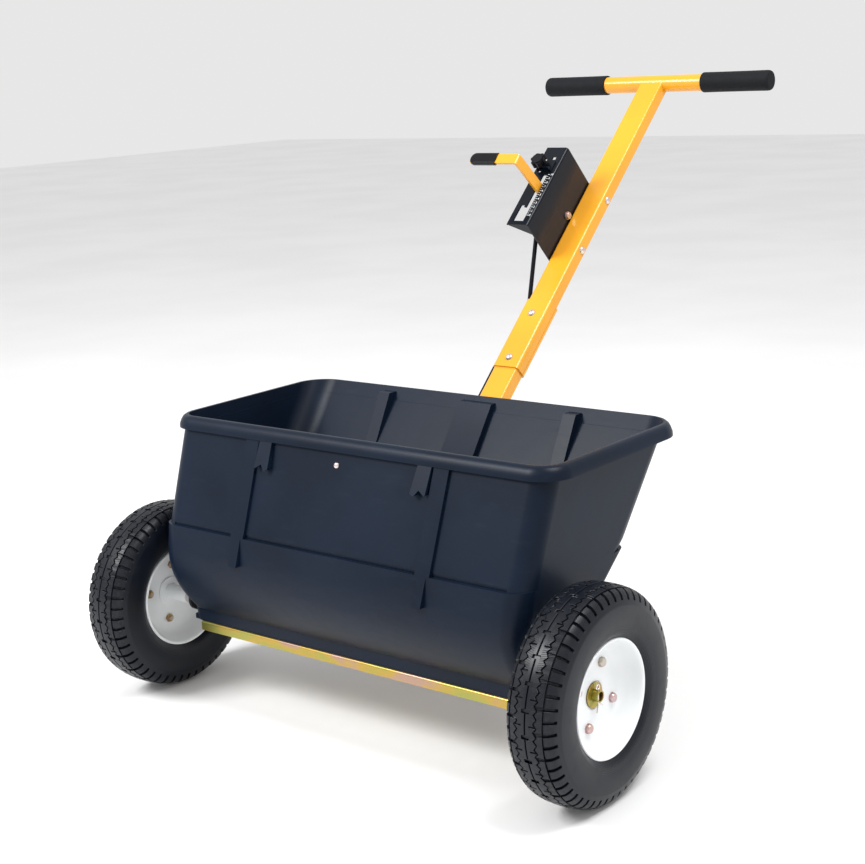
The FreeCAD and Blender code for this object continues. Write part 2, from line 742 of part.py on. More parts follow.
def splice_sleeve():
    """Folded sleeve around the joint of the two tubes, with its seam down both sides."""
    half = COLUMN_W / 2 + SLEEVE_T
    body = rect_tube(SLEEVE_LOW, SLEEVE_HIGH, 2 * half, COLUMN_D + 2 * SLEEVE_T, SLEEVE_T,
                     COLUMN_R + SLEEVE_T, SLEEVE_T)
    for s in SPLICE_BOLTS:
        body = body.cut(rod_between(on_column(0, s, 20), on_column(0, s, -60), 4.2))
    for x in (-half, half):
        seam = [(x - 1.2, SEAM_N - 0.5, 0), (x + 1.2, SEAM_N - 0.5, 0), (x + 1.2, SEAM_N + 0.5, 0),
                (x - 1.2, SEAM_N + 0.5, 0)]
        body = body.cut(plate(seam, lambda a, b: on_column(a, SLEEVE_LOW - 1, b),
                              ALONG * (SLEEVE_HIGH - SLEEVE_LOW + 2)))
    return body


def crossbar():
    return ring(V(-BAR_HALF, BAR_Y, BAR_Z), V(BAR_HALF, BAR_Y, BAR_Z), BAR_R, BAR_R - 1.6)


def grip(side):
    """Foam sleeve with a closed, rounded outer end."""
    start = V(side * GRIP_START, BAR_Y, BAR_Z)
    end = V(side * GRIP_END, BAR_Y, BAR_Z)
    body = rod_between(start, end, GRIP_R)
    outer_end = [e for e in body.Edges if e.Curve.TypeId == "Part::GeomCircle"
                 and abs(e.Curve.Center.x - end.x) < 1]
    body = body.makeFillet(5.0, outer_end)
    return body.cut(rod_between(start - V(side, 0, 0), V(side * BAR_HALF, BAR_Y, BAR_Z), BAR_R))


def column_bolts(places, n_from, n_to, r=4.0):
    """Bolts through the column's front face, with nuts behind."""
    down = OFF * -1
    heads = [bolt(on_column(0, s, n_from), down, n_from - n_to + 8, r) for s in places]
    nuts = [nut(on_column(0, s, n_to), down, r) for s in places]
    return heads, nuts


def side_bolts():
    """Bolts through the column's sides that carry the control bracket."""
    half = COLUMN_W / 2
    heads = [bolt(on_column(half, s, MID_N), V(-1, 0, 0), COLUMN_W + BRACKET_T + 9) for s in BRACKET_BOLTS]
    nuts = [nut(on_column(-half - BRACKET_T, s, MID_N), V(-1, 0, 0)) for s in BRACKET_BOLTS]
    return heads, nuts


def rear_bracket():
    """Yoke that ties the column's foot to the floor plate's tongue."""
    top = HOPPER_BOTTOM
    cheek = [(48, top, 0), (74, top, 0), (116, 208, 8), (107, 228, 8), (94, 222, 6), (86, 205, 4), (50, 158, 3)]
    body = plate([(-28, 48, 0), (28, 48, 0), (28, 72, 0), (-28, 72, 0)], lambda a, b: V(a, b, top), V(0, 0, 2.5))
    for x in (-28, 25.5):
        body = body.fuse(plate(cheek, lambda a, b: V(x, a, b), V(2.5, 0, 0)))
    body = body.cut(rod_between(on_column(-60, FOOT_BOLT_S, MID_N), on_column(60, FOOT_BOLT_S, MID_N), 4.2))
    for x in (-14, 14):
        body = body.cut(rod_between(V(x, 60, top - 9), V(x, 60, top + 9), 3.1))
    return body.removeSplitter()


def rear_bracket_bolts():
    along = bolt(on_column(28, FOOT_BOLT_S, MID_N), V(-1, 0, 0), 56 + 1.2)
    tongue = [bolt(V(x, 60, HOPPER_BOTTOM + 2.5), V(0, 0, -1), 4.4, 3.0, 10.0, 4.0) for x in (-14, 14)]
    return [along] + tongue


# ---------- stand ----------

def stand_leg():
    top = on_column(0, -45, STAND_N)
    knee = on_column(0, (STAND_Y - COLUMN_Y + STAND_N * sin(SLOPE)) / cos(SLOPE), STAND_N)
    foot = V(0, STAND_Y, 4)
    outer = bent_wire([top, knee, foot], STAND_R, 45)
    inner = bent_wire([top + ALONG * 2, knee, foot - V(0, 0, 2)], STAND_R - 1.6, 45)
    body = outer.cut(inner)
    for s in STAND_BOLTS:
        body = body.cut(rod_between(on_column(0, s, 20), on_column(0, s, -80), 3.2))
    return body


def stand_foot():
    """Rubber boot over the leg's end."""
    body = Part.makeCylinder(16, 34, V(0, STAND_Y, 0))
    body = body.makeFillet(2.5, [e for e in body.Edges if e.Curve.TypeId == "Part::GeomCircle"])
    return body.cut(Part.makeCylinder(STAND_R, 40, V(0, STAND_Y, 4)))


# ---------- control bracket, lever, rod and stop ----------

def control_bracket():
    half = COLUMN_W / 2
    near = -half - BRACKET_T / 2
    high = PANEL_N - BRACKET_T / 2
    path = [(near, -24, 0), (near, high, 4), (PANEL_EDGE, high, 0)]
    body = plate(ribbon(path, BRACKET_T), lambda a, b: on_column(a, BRACKET_LOW, b),
                 ALONG * (BRACKET_HIGH - BRACKET_LOW))
    gusset = [(near, high, 0), (PANEL_EDGE + 1, high, 0), (near, high - 27, 0)]
    for s in (BRACKET_LOW, BRACKET_HIGH - BRACKET_T):
        body = body.fuse(plate(gusset, lambda a, b: on_column(a, s, b), ALONG * BRACKET_T))

    def opening(points):
        return plate(points, lambda a, b: on_column(a, b, PANEL_N - 6), OFF * 12)
    window = [(-60.5, 308.5, 0), (-38.5, 308.5, 0), (-38.5, 420, 2), (-47.5, 420, 2), (-47.5, 342, 0),
              (-52.5, 342, 0), (-52.5, 347, 2), (-60.5, 347, 2)]
    stop_slot = [(KNOB_X - 3.2, 426, 3.1), (KNOB_X + 3.2, 426, 3.1), (KNOB_X + 3.2, 460, 3.1),
                 (KNOB_X - 3.2, 460, 3.1)]
    peep = [(-47, 457, 0), (-39, 457, 0), (-39, 465, 0), (-47, 465, 0)]
    for points in (window, stop_slot, peep):
        body = body.cut(opening(points))
    for s in BRACKET_BOLTS:
        body = body.cut(rod_between(on_column(-60, s, MID_N), on_column(0, s, MID_N), 4.2))
    body = body.cut(rod_between(on_column(-60, LEVER_S, LEVER_N), on_column(0, LEVER_S, LEVER_N), 4.0))
    return body.removeSplitter()


def lever_pivot():
    """Pivot bolt with its spacer sleeve and lock nut."""
    inner = -COLUMN_W / 2
    near = LEVER_X + LEVER_T / 2
    far = LEVER_X - LEVER_T / 2
    at = on_column(inner, LEVER_S, LEVER_N)
    pin = bolt(at, V(-1, 0, 0), 24, 4.0, 13.0, 4.0)
    sleeve = ring(on_column(inner - BRACKET_T, LEVER_S, LEVER_N), on_column(near + 0.4, LEVER_S, LEVER_N), 7.5, 4.0)
    lock = nut(on_column(far - 0.4, LEVER_S, LEVER_N), V(-1, 0, 0), 4.0, 13.0, 6.5)
    return [pin, sleeve, lock]


def leaned(shape):
    """Tip a piece of the lever about its pivot to where it rests."""
    shape.rotate(on_column(0, LEVER_S, LEVER_N), V(1, 0, 0), LEVER_LEAN)
    return shape


def lever():
    """Flat bar lever: a slotted lower end, an upright and an arm bent away from the column."""
    low = LEVER_N - 10
    path = [(LEVER_X, low, 0), (LEVER_X, LEVER_BEND_N, 4.5), (LEVER_TIP, LEVER_BEND_N, 0)]
    half = LEVER_W / 2
    body = plate(ribbon(path, LEVER_T), lambda a, b: on_column(a, LEVER_S - half, b), ALONG * LEVER_W)
    body = body.cut(rod_between(on_column(-60, LEVER_S, LEVER_N), on_column(0, LEVER_S, LEVER_N), 4.08))
    slot = [(LEVER_S - 4.7, LEVER_N + ROD_ARM - 3.6, 4.0), (LEVER_S + 4.7, LEVER_N + ROD_ARM - 3.6, 4.0),
            (LEVER_S + 4.7, LEVER_N + 57, 4.0), (LEVER_S - 4.7, LEVER_N + 57, 4.0)]
    return leaned(body.cut(plate(slot, lambda a, b: on_column(-60, a, b), V(60, 0, 0))))


def lever_grip():
    """Dipped vinyl sleeve with a rounded end on the arm."""
    half = LEVER_W / 2 + VINYL_T
    thick = LEVER_T / 2 + VINYL_T
    end = LEVER_TIP - 3
    points = [(LEVER_GRIP_START, -half, 0), (end, -half, half - 1), (end, half, half - 1),
              (LEVER_GRIP_START, half, 0)]
    outer = plate(points, lambda a, b: on_column(a, LEVER_S + b, LEVER_BEND_N - thick), OFF * (2 * thick))
    long_edges = [e for e in outer.Edges if abs(e.tangentAt(e.FirstParameter).dot(OFF)) < 0.5
                  and abs(e.CenterOfMass.x - LEVER_GRIP_START) > 1]
    outer = outer.makeFillet(thick - 1.5, long_edges)
    low = LEVER_W / 2
    inner = plate([(LEVER_GRIP_START + 1, -low, 0), (LEVER_TIP, -low, 0), (LEVER_TIP, low, 0),
                   (LEVER_GRIP_START + 1, low, 0)],
                  lambda a, b: on_column(a, LEVER_S + b, LEVER_BEND_N - LEVER_T / 2), OFF * LEVER_T)
    return leaned(outer.cut(inner))


def rod_hook():
    """Where the rod turns into the lever's slot."""
    return on_column(ROD_X, LEVER_S - ROD_TRAVEL * radians(LEVER_LEAN), LEVER_N + ROD_ARM)


def control_rod():
    """Bent rod from the lever down behind the column to the shutter's lug."""
    high_n = LEVER_N + ROD_ARM
    hook = rod_hook()
    shoulder = on_column(ROD_X, ROD_SHOULDER_S, high_n)
    hip = on_column(ROD_X, ROD_HIP_S, ROD_BACK_N)
    down = (ROD_END_Y - COLUMN_Y + ROD_BACK_N * sin(SLOPE)) / cos(SLOPE)
    knee = on_column(ROD_X, down, ROD_BACK_N)
    end = V(ROD_X, ROD_END_Y, ROD_END_Z)
    body = bent_wire([hook, shoulder, hip, knee, end], ROD_R, 14)
    body = body.fuse([Part.makeSphere(ROD_R, hook), Part.makeSphere(ROD_R, end)])
    for at in (hook, end):
        body = body.fuse(rod_between(at, at + V(16, 0, 0), HOOK_R))
    return body.removeSplitter()


def rod_clips():
    """Push-on washers that keep the rod's hooked ends in place."""
    clips = []
    for at in (rod_hook(), V(ROD_X, ROD_END_Y, ROD_END_Z)):
        first = V(LEVER_X + LEVER_T / 2 + 1.2, at.y, at.z)
        clips.append(ring(first, first + V(1.6, 0, 0), 6.5, HOOK_R))
    return clips


def rate_stop():
    """Sliding stop on the panel with an upturned edge that meets the lever."""
    base = [(-66, STOP_EDGE, 1), (-34, STOP_EDGE, 1), (-34, STOP_EDGE + 24, 2), (-66, STOP_EDGE + 24, 2)]
    body = plate(base, lambda a, b: on_column(a, b, PANEL_N + 0.4), OFF * 2.5)
    lip_points = [(-48, STOP_EDGE, 0), (-34, STOP_EDGE, 0), (-34, STOP_EDGE + 2.5, 0), (-48, STOP_EDGE + 2.5, 0)]
    body = body.fuse(plate(lip_points, lambda a, b: on_column(a, b, PANEL_N + 0.4), OFF * 11))
    return body.cut(rod_between(on_column(KNOB_X, KNOB_S, PANEL_N - 9), on_column(KNOB_X, KNOB_S, PANEL_N + 30), 3.05))


def rate_knob():
    """Six-lobed clamp knob on its stud, with a keeper disc under the panel."""
    low = PANEL_N + 3.5
    body = rod_between(on_column(KNOB_X, KNOB_S, low + 6), on_column(KNOB_X, KNOB_S, low + 20), 11.0)
    for i in range(6):
        turn = radians(60 * i)
        x = KNOB_X + 10.5 * cos(turn)
        s = KNOB_S + 10.5 * sin(turn)
        body = body.fuse(rod_between(on_column(x, s, low + 6), on_column(x, s, low + 18), 4.2))
    body = body.fuse(rod_between(on_column(KNOB_X, KNOB_S, low), on_column(KNOB_X, KNOB_S, low + 8), 7.5))
    stud = rod_between(on_column(KNOB_X, KNOB_S, PANEL_N - 9), on_column(KNOB_X, KNOB_S, low + 4), 3.0)
    keeper = rod_between(on_column(KNOB_X, KNOB_S, PANEL_N - 7), on_column(KNOB_X, KNOB_S, PANEL_N - 3), 7.0)
    return body.fuse([stud, keeper]).removeSplitter()


# ---------- all pieces ----------

def pieces():
    parts = {}
    shell = hopper()
    for lug in plate_lugs():
        shell = shell.fuse(lug)
    for at in screw_places():
        shell = shell.cut(rod_between(at - V(0, 0, 2), at + V(0, 0, 9), 2.5))
    parts["hopper"] = shell.removeSplitter()
    parts["bottom_plate"] = bottom_plate()
    parts["plate_screws"] = plate_screws()
    parts["shutter_guides"] = shutter_guides()
    parts["shutter"] = shutter()
    parts["lower_handle_tube"] = lower_tube()
    parts["upper_handle_tube"] = upper_tube()
    parts["splice_sleeve"] = splice_sleeve()
    parts["crossbar"] = crossbar()
    parts["splice_bolts"], parts["splice_nuts"] = column_bolts(SPLICE_BOLTS, SLEEVE_T, -COLUMN_D - SLEEVE_T)
    parts["control_bracket"] = control_bracket()
    parts["bracket_bolts"], parts["bracket_nuts"] = side_bolts()
    parts["lever_pivot"] = lever_pivot()
    parts["stand_leg"] = stand_leg()
    parts["stand_foot"] = stand_foot()
    stand_back = STAND_N - STAND_R
    parts["stand_bolts"], parts["stand_nuts"] = column_bolts(STAND_BOLTS, 0, stand_back, 3.0)
    parts["hopper_bolts"], parts["hopper_nuts"] = hopper_bolts()
    parts["front_bolt"], parts["front_nut"] = front_bolt()
    parts["rear_bracket"] = rear_bracket()
    parts["rear_bracket_bolts"] = rear_bracket_bolts()
    parts["axle"] = axle()
    parts["agitator_pins"] = agitator()
    parts["drive_pin"] = drive_pin()
    for name, side in (("left", -1), ("right", 1)):
        parts["axle_bush_" + name] = axle_bush(side)
        parts["grip_" + name] = grip(side)
        parts["tyre_" + name] = tyre(side)
        parts["rim_outer_" + name] = rim_half(side, 1)
        parts["rim_inner_" + name] = rim_half(side, -1)
        parts["hub_" + name] = hub(side)
        parts["hub_bushes_" + name] = hub_bushes(side)
        parts["wheel_bolts_" + name] = wheel_bolts(side)
        parts["wheel_nuts_" + name] = wheel_nuts(side)
        parts["axle_washer_" + name] = axle_washer(side)
        parts["axle_spacer_" + name] = spacer(side)
        parts["cotter_" + name] = cotter(side)
    parts["lever"] = lever()
    parts["lever_grip"] = lever_grip()
    parts["control_rod"] = control_rod()
    parts["rod_clips"] = rod_clips()
    parts["rate_stop"] = rate_stop()
    parts["rate_knob"] = rate_knob()
    return parts


os.makedirs("parts", exist_ok=True)
for name, shape in pieces().items():
    if isinstance(shape, list):
        shape = Part.makeCompound(shape)
    shape.translate(V(0, -FOOTPRINT_MID, 0))
    shape.exportStep("parts/" + name + ".step")
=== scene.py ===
import json
from math import atan2, cos, radians, sin, tau

import bpy
from bpy.props import FloatProperty, FloatVectorProperty, IntProperty, PointerProperty
from mathutils import Matrix, Vector

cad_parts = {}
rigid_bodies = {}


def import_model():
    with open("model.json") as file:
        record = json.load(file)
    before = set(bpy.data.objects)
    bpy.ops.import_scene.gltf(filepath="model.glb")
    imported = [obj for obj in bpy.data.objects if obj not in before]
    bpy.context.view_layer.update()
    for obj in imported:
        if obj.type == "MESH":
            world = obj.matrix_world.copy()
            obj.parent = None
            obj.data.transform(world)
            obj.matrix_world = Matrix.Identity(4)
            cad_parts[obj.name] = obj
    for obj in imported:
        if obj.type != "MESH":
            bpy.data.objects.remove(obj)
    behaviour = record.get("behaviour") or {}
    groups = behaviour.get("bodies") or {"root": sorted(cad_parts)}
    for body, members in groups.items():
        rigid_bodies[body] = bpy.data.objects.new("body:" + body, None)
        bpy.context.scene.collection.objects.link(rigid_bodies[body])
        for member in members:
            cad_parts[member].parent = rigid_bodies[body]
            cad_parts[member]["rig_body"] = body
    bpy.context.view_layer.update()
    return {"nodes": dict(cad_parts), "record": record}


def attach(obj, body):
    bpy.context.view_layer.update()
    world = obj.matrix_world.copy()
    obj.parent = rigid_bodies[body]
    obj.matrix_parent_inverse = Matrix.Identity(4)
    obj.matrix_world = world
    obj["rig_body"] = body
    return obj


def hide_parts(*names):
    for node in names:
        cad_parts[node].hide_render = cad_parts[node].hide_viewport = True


bl_info = {
    "name": "Push Drop Spreader",
    "version": (1, 0, 0),
    "blender": (4, 5, 0),
    "location": "View3D > Sidebar > Spreader",
    "description": "Builds the finished look of a push drop spreader around its CAD frame",
    "category": "Add Mesh",
}

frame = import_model()
NODES = frame["nodes"]

# Places in metres, in the row frame.
AXLE_Y = -0.403
AXLE_Z = 0.165
WHEEL_X = 0.4505
COLUMN_FOOT = Vector((0, -0.0139, 0.5003))
COLUMN_SLOPE = radians(42.873)
ALONG = Vector((0, cos(COLUMN_SLOPE), sin(COLUMN_SLOPE)))
OFF = Vector((0, -sin(COLUMN_SLOPE), cos(COLUMN_SLOPE)))
ACROSS = Vector((1, 0, 0))
BAR_Y = 0.549
BAR_Z = 1.005
SPLICE_BOLT_S = (0.0728, 0.1726)
BRACKET_BOLT_S = (0.335, 0.4565)
TUBE_MIDDLE_N = -0.0135
TUBE_SIDE_X = 0.025
SLEEVE_WALL = 0.003
FRONT_BOLT_AT = Vector((-0.012, -0.4157, 0.455))
FRONT_WALL_INWARD = Vector((0, 155, -57)).normalized()
BOLT_HEAD_R = 0.0072
BOLT_HEAD_HIGH = 0.0046
BOLT_SHANK_R = 0.004
WELD = 0.000005

# Printed scale, on the bracket's panel.
PANEL_N = 0.096
PRINT_THICK = 0.00008
TICKS = 21
TICK_PITCH = 0.0049
TICK_WIDE = 0.0008
LONG_TICK = 0.0042
SHORT_TICK = 0.0024
FIRST_TICK_S = 0.3225
TICK_X = -0.0372
NUMBER_X = -0.0322
NUMBER_HIGH = 0.0066

# Stage: each lamp's place, size and power, and the camera's place and aim.
LAMPS = {"key": ((-1.9, -3.0, 3.4), 1.6, 170.0), "top": ((1.6, -0.2, 3.4), 1.4, 80.0)}
LAMP_AIM = Vector((0, -0.1, 0.4))
WORLD_STRENGTH = 0.80
FLOOR_SIZE = 30.0
CAMERA_AT = (1.6846, -2.2324, 1.0786)
CAMERA_YAW = radians(39.478)
CAMERA_PITCH = radians(13.094)
CAMERA_ROLL = radians(-2.853)
CAMERA_LENS = 67.14


def on_column(x, s, n):
    """Point beside the column: x across, s up its front face, n off that face."""
    return COLUMN_FOOT + ACROSS * x + ALONG * s + OFF * n


# ---------- what a user may change ----------

class SpreaderColours(bpy.types.PropertyGroup):
    """Colours of the paints and plastics."""
    tub: FloatVectorProperty(name="Tub", description="Moulded hopper plastic", subtype="COLOR",
                             size=3, min=0, max=1, default=(0.0036, 0.0085, 0.0195))
    handle: FloatVectorProperty(name="Handle paint", description="Powder coat on the handle and lever",
                                subtype="COLOR", size=3, min=0, max=1, default=(0.80, 0.345, 0.009))
    bracket: FloatVectorProperty(name="Bracket paint", description="Gloss paint on the control bracket",
                                 subtype="COLOR", size=3, min=0, max=1, default=(0.0022, 0.0040, 0.0085))
    rims: FloatVectorProperty(name="Rim paint", description="Gloss paint on the wheel rims", subtype="COLOR",
                              size=3, min=0, max=1, default=(0.80, 0.82, 0.83))
    rubber: FloatVectorProperty(name="Tyre rubber", description="Tyre rubber", subtype="COLOR",
                                size=3, min=0, max=1, default=(0.0035, 0.0050, 0.0095))


class SpreaderSizes(bpy.types.PropertyGroup):
    """Sizes of the tread and of the softened edges."""
    pitches: IntProperty(name="Tread pitches", description="Repeats of the tread pattern round a tyre",
                         default=27, min=12, max=48)
    groove: FloatProperty(name="Groove depth", description="Depth of the grooves between the tread blocks",
                          unit="LENGTH", default=0.0032, min=0.001, max=0.006)
    lug: FloatProperty(name="Shoulder notch depth",
                       description="Depth of the notches between the shoulder lugs",
                       unit="LENGTH", default=0.0050, min=0.001, max=0.008)
    tub_edge: FloatProperty(name="Tub edge radius", description="Radius on the tub's moulded edges",
                            unit="LENGTH", default=0.0012, min=0.0002, max=0.003)
    metal_edge: FloatProperty(name="Metal edge radius", description="Radius on cut and pressed metal edges",
                              unit="LENGTH", default=0.0004, min=0.0001, max=0.001)


# ---------- materials ----------

class Tap:
    """An output of a material's node that takes part in plain arithmetic."""

    def __init__(self, paint, socket):
        self.paint = paint
        self.socket = socket

    def _maths(self, operation, *values):
        return self.paint.node("ShaderNodeMath", {"operation": operation}, dict(enumerate(values)))

    def __add__(self, other):
        return self._maths("ADD", self, other)

    __radd__ = __add__

    def __sub__(self, other):
        return self._maths("SUBTRACT", self, other)

    def __rsub__(self, other):
        return self._maths("SUBTRACT", other, self)

    def __mul__(self, other):
        return self._maths("MULTIPLY", self, other)

    __rmul__ = __mul__

    def __abs__(self):
        return self._maths("ABSOLUTE", self)

    def wave(self):
        return self._maths("SINE", self)

    def ramp(self, low, high, start=0.0, end=1.0):
        """Runs smoothly from start to end as the value goes from low to high."""
        return self.paint.node("ShaderNodeMapRange", {"interpolation_type": "SMOOTHSTEP"},
                               {"Value": self, "From Min": low, "From Max": high,
                                "To Min": start, "To Max": end})


class Paint:
    """A material built on one Principled shader."""

    def __init__(self, name):
        self.material = bpy.data.materials.new(name)
        self.material.use_nodes = True
        self.tree = self.material.node_tree
        self.shader = self.tree.nodes["Principled BSDF"]

    def node(self, kind, settings=None, inputs=None, out=0):
        made = self.tree.nodes.new(kind)
        for key, value in (settings or {}).items():
            setattr(made, key, value)
        for key, value in (inputs or {}).items():
            self.feed(made.inputs[key], value)
        return Tap(self, made.outputs[out])

    def feed(self, socket, value):
        if isinstance(value, Tap):
            self.tree.links.new(value.socket, socket)
        elif socket.type == "RGBA" and len(value) == 3:
            socket.default_value = (*value, 1.0)
        else:
            socket.default_value = value

    def place(self):
        """Object coordinates, in metres."""
        return self.node("ShaderNodeTexCoord", out=3)

    def axes(self):
        split = self.node("ShaderNodeSeparateXYZ", None, {0: self.place()})
        return [Tap(self, socket) for socket in split.socket.node.outputs]

    def stretched(self, x, y, z):
        return self.node("ShaderNodeMapping", None, {"Vector": self.place(), "Scale": (x, y, z)})

    def noise(self, scale, detail=3.0, rough=0.5, where=None):
        return self.node("ShaderNodeTexNoise", None,
                         {"Vector": where or self.place(), "Scale": scale, "Detail": detail,
                          "Roughness": rough})

    def cells(self, scale):
        return self.node("ShaderNodeTexVoronoi", None, {"Vector": self.place(), "Scale": scale})

    def mix(self, mask, first, second):
        """Colour that goes from first to second as the mask rises."""
        return self.node("ShaderNodeMix", {"data_type": "RGBA"}, {0: mask, 6: first, 7: second}, out=2)

    def bump(self, height, depth, strength=1.0, before=None):
        inputs = {"Height": height, "Distance": depth, "Strength": strength}
        if before is not None:
            inputs["Normal"] = before
        return self.node("ShaderNodeBump", None, inputs)

    def finish(self, **values):
        """Sets the shader's inputs; a name's underscores stand for spaces."""
        for key, value in values.items():
            self.feed(self.shader.inputs[key.replace("_", " ")], value)
        return self.material


def shade(colour, factor):
    return tuple(min(1.0, channel * factor) for channel in colour)


def tub_plastic(colour):
    """Navy-black polyethylene: satin, faintly mottled, with a fine moulded grain."""
    paint = Paint("hopper_plastic")
    mottle = paint.noise(7.0, 4.0)
    scuffs = paint.noise(1.0, 5.0, 0.6, paint.stretched(18, 18, 90)).ramp(0.55, 0.75)
    grain = paint.noise(1400.0, 2.0)
    flow = paint.noise(26.0, 3.0)
    base = paint.mix(mottle.ramp(0.3, 0.7), shade(colour, 0.86), shade(colour, 1.18))
    base = paint.mix(scuffs * 0.06, base, (0.03, 0.045, 0.07))
    rough = 0.33 + mottle * 0.08 + scuffs * 0.05
    normal = paint.bump(grain, 0.00006, 0.55, paint.bump(flow, 0.0006, 0.30))
    return paint.finish(Base_Color=base, Roughness=rough, Normal=normal, Specular_IOR_Level=0.15)


def powder_coat(name, colour, rough, coat, shine=0.5):
    """Powder coat with orange peel and slightly deeper colour in patches."""
    paint = Paint(name)
    peel = paint.noise(420.0, 2.0)
    sag = paint.noise(9.0, 3.0)
    fleck = paint.noise(160.0, 4.0, 0.7).ramp(0.66, 0.74)
    base = paint.mix(sag.ramp(0.3, 0.7), shade(colour, 0.94), shade(colour, 1.04))
    base = paint.mix(fleck * 0.10, base, shade(colour, 0.72))
    normal = paint.bump(peel, 0.00012, 0.5)
    return paint.finish(Base_Color=base, Roughness=rough + sag * 0.08, Normal=normal, Coat_Weight=coat,
                        Coat_Roughness=0.08, Specular_IOR_Level=shine)


def zinc(name, tones, rough):
    """Zinc plate whose passivation drifts between three tones, with fine drawing marks."""
    paint = Paint(name)
    first, second, third = tones
    drift = paint.noise(1.0, 2.0, 0.5, paint.stretched(11, 38, 38))
    clouds = paint.noise(55.0, 4.0, 0.6)
    marks = paint.noise(1.0, 3.0, 0.6, paint.stretched(60, 2400, 2400))
    base = paint.mix(drift.ramp(0.36, 0.52), first, second)
    base = paint.mix((drift + clouds * 0.25).ramp(0.62, 0.78), base, third)
    spots = paint.noise(300.0, 3.0, 0.7).ramp(0.68, 0.78)
    base = paint.mix(spots * 0.35, base, shade(first, 0.45))
    normal = paint.bump(marks, 0.00003, 0.5)
    return paint.finish(Base_Color=base, Metallic=0.94, Roughness=rough + clouds * 0.14, Normal=normal)


def tyre_rubber(colour):
    """Rubber with fine slanted sipes on the tread, rings on the wall and a trace of dust."""
    paint = Paint("tyre")
    x, y, z = paint.axes()
    high = z - AXLE_Z
    deep = y - AXLE_Y
    radius = paint.node("ShaderNodeMath", {"operation": "SQRT"}, {0: high * high + deep * deep})
    turn = paint.node("ShaderNodeMath", {"operation": "ARCTAN2"}, {0: high, 1: deep})
    across = abs(abs(x) - WHEEL_X)
    slant = (turn * 324 + across * 520).wave().ramp(0.80, 0.97)
    crown = across.ramp(0.0066, 0.0078) * (1 - across.ramp(0.0262, 0.0272)) * radius.ramp(0.158, 0.160)
    shoulder_lines = (turn * 540).wave().ramp(0.82, 0.97)
    shoulder = across.ramp(0.0300, 0.0310) * (1 - across.ramp(0.0400, 0.0410)) * radius.ramp(0.148, 0.150)
    rings = (radius * 2600).wave().ramp(0.2, 0.8)
    wall = radius.ramp(0.096, 0.098) * (1 - radius.ramp(0.106, 0.108))
    height = 1 - slant * crown * 0.9 - shoulder_lines * shoulder * 0.8 + rings * wall * 0.35
    grain = paint.noise(1100.0, 2.0)
    dust = paint.noise(34.0, 5.0, 0.65).ramp(0.45, 0.8)
    base = paint.mix(dust * 0.12, colour, (0.022, 0.025, 0.030))
    wear = paint.noise(90.0, 3.0)
    rough = 0.30 + dust * 0.16 + wear * 0.06
    normal = paint.bump(height, 0.0006, 0.8, paint.bump(grain, 0.00005, 0.5))
    return paint.finish(Base_Color=base, Roughness=rough, Normal=normal, Specular_IOR_Level=0.30)


def foam():
    """Closed-cell foam: small open cells at the skin, with painted shade darkening the centre of each pit.
    """
    paint = Paint("foam")
    pores_and_pit_shade = paint.cells(900.0)
    lumps = paint.noise(60.0, 3.0)
    # Colour: the pit centres are painted darker as shade in the pits; the same pattern also sinks them
    # through the bump.
    base = paint.mix(pores_and_pit_shade.ramp(0.1, 0.5), (0.003, 0.003, 0.004), (0.008, 0.009, 0.011))
    normal = paint.bump(pores_and_pit_shade, 0.00035, 0.55, paint.bump(lumps, 0.0005, 0.3))
    rough = 0.62 + lumps * 0.15
    return paint.finish(Base_Color=base, Roughness=rough, Normal=normal, Specular_IOR_Level=0.16)


def moulded(name, colour, rough, grain_size=900.0, depth=0.00005):
    """Small moulded part: grained skin with a little shade and gloss variation."""
    paint = Paint(name)
    grain = paint.noise(grain_size, 2.0)
    mottle = paint.noise(45.0, 3.0)
    base = paint.mix(mottle.ramp(0.3, 0.7), shade(colour, 0.8), shade(colour, 1.25))
    normal = paint.bump(grain, depth, 0.6)
    return paint.finish(Base_Color=base, Roughness=rough + mottle * 0.1, Normal=normal,
                        Specular_IOR_Level=0.2)


def floor_paint():
    """Pale matte studio floor."""
    paint = Paint("studio_floor")
    wash = paint.noise(1.3, 4.0)
    base = paint.mix(wash.ramp(0.3, 0.7), (0.86, 0.86, 0.86), (0.90, 0.90, 0.90))
    normal = paint.bump(paint.noise(180.0, 2.0), 0.0002, 0.3)
    return paint.finish(Base_Color=base, Roughness=0.8 + wash * 0.1, Normal=normal)


MATERIALS = {}
YELLOW_TONES = ((0.34, 0.33, 0.085), (0.46, 0.31, 0.07), (0.42, 0.27, 0.20))
ROSE_TONES = ((0.60, 0.44, 0.43), (0.58, 0.40, 0.36), (0.50, 0.46, 0.40))
BRIGHT_TONES = ((0.72, 0.68, 0.66), (0.74, 0.60, 0.58), (0.70, 0.68, 0.55))


def material(name):
    return MATERIALS[name]


def slot_of(node):
    """The record's material slot of a CAD node."""
    for row in frame["record"]["subparts"]:
        if row["node"] == node:
            return row["material_slot"]
    raise ValueError("no slot is recorded for " + node)


# ---------- modelling by hand ----------

def clear_selection():
    if bpy.context.object and bpy.context.object.mode != "OBJECT":
        bpy.ops.object.mode_set(mode="OBJECT")
    bpy.ops.object.select_all(action="DESELECT")


def pick(obj):
    clear_selection()
    obj.select_set(True)
    bpy.context.view_layer.objects.active = obj


def modifier(obj, kind, **settings):
    pick(obj)
    made = obj.modifiers.new(kind.title(), kind)
    for key, value in settings.items():
        setattr(made, key, value)
    bpy.ops.object.modifier_apply(modifier=made.name)


def settle(obj, name, body, *nodes, slot=None, finish=None):
    """Names a finished piece, gives it its material and hangs it on its body."""
    obj.name = name
    obj.data.name = name
    slot = slot or slot_of(nodes[0])
    obj.data.materials.clear()
    obj.data.materials.append(material(finish or slot))
    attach(obj, body)
    if nodes:
        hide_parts(*nodes)
    return obj


def body_of(node):
    return NODES[node]["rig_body"]


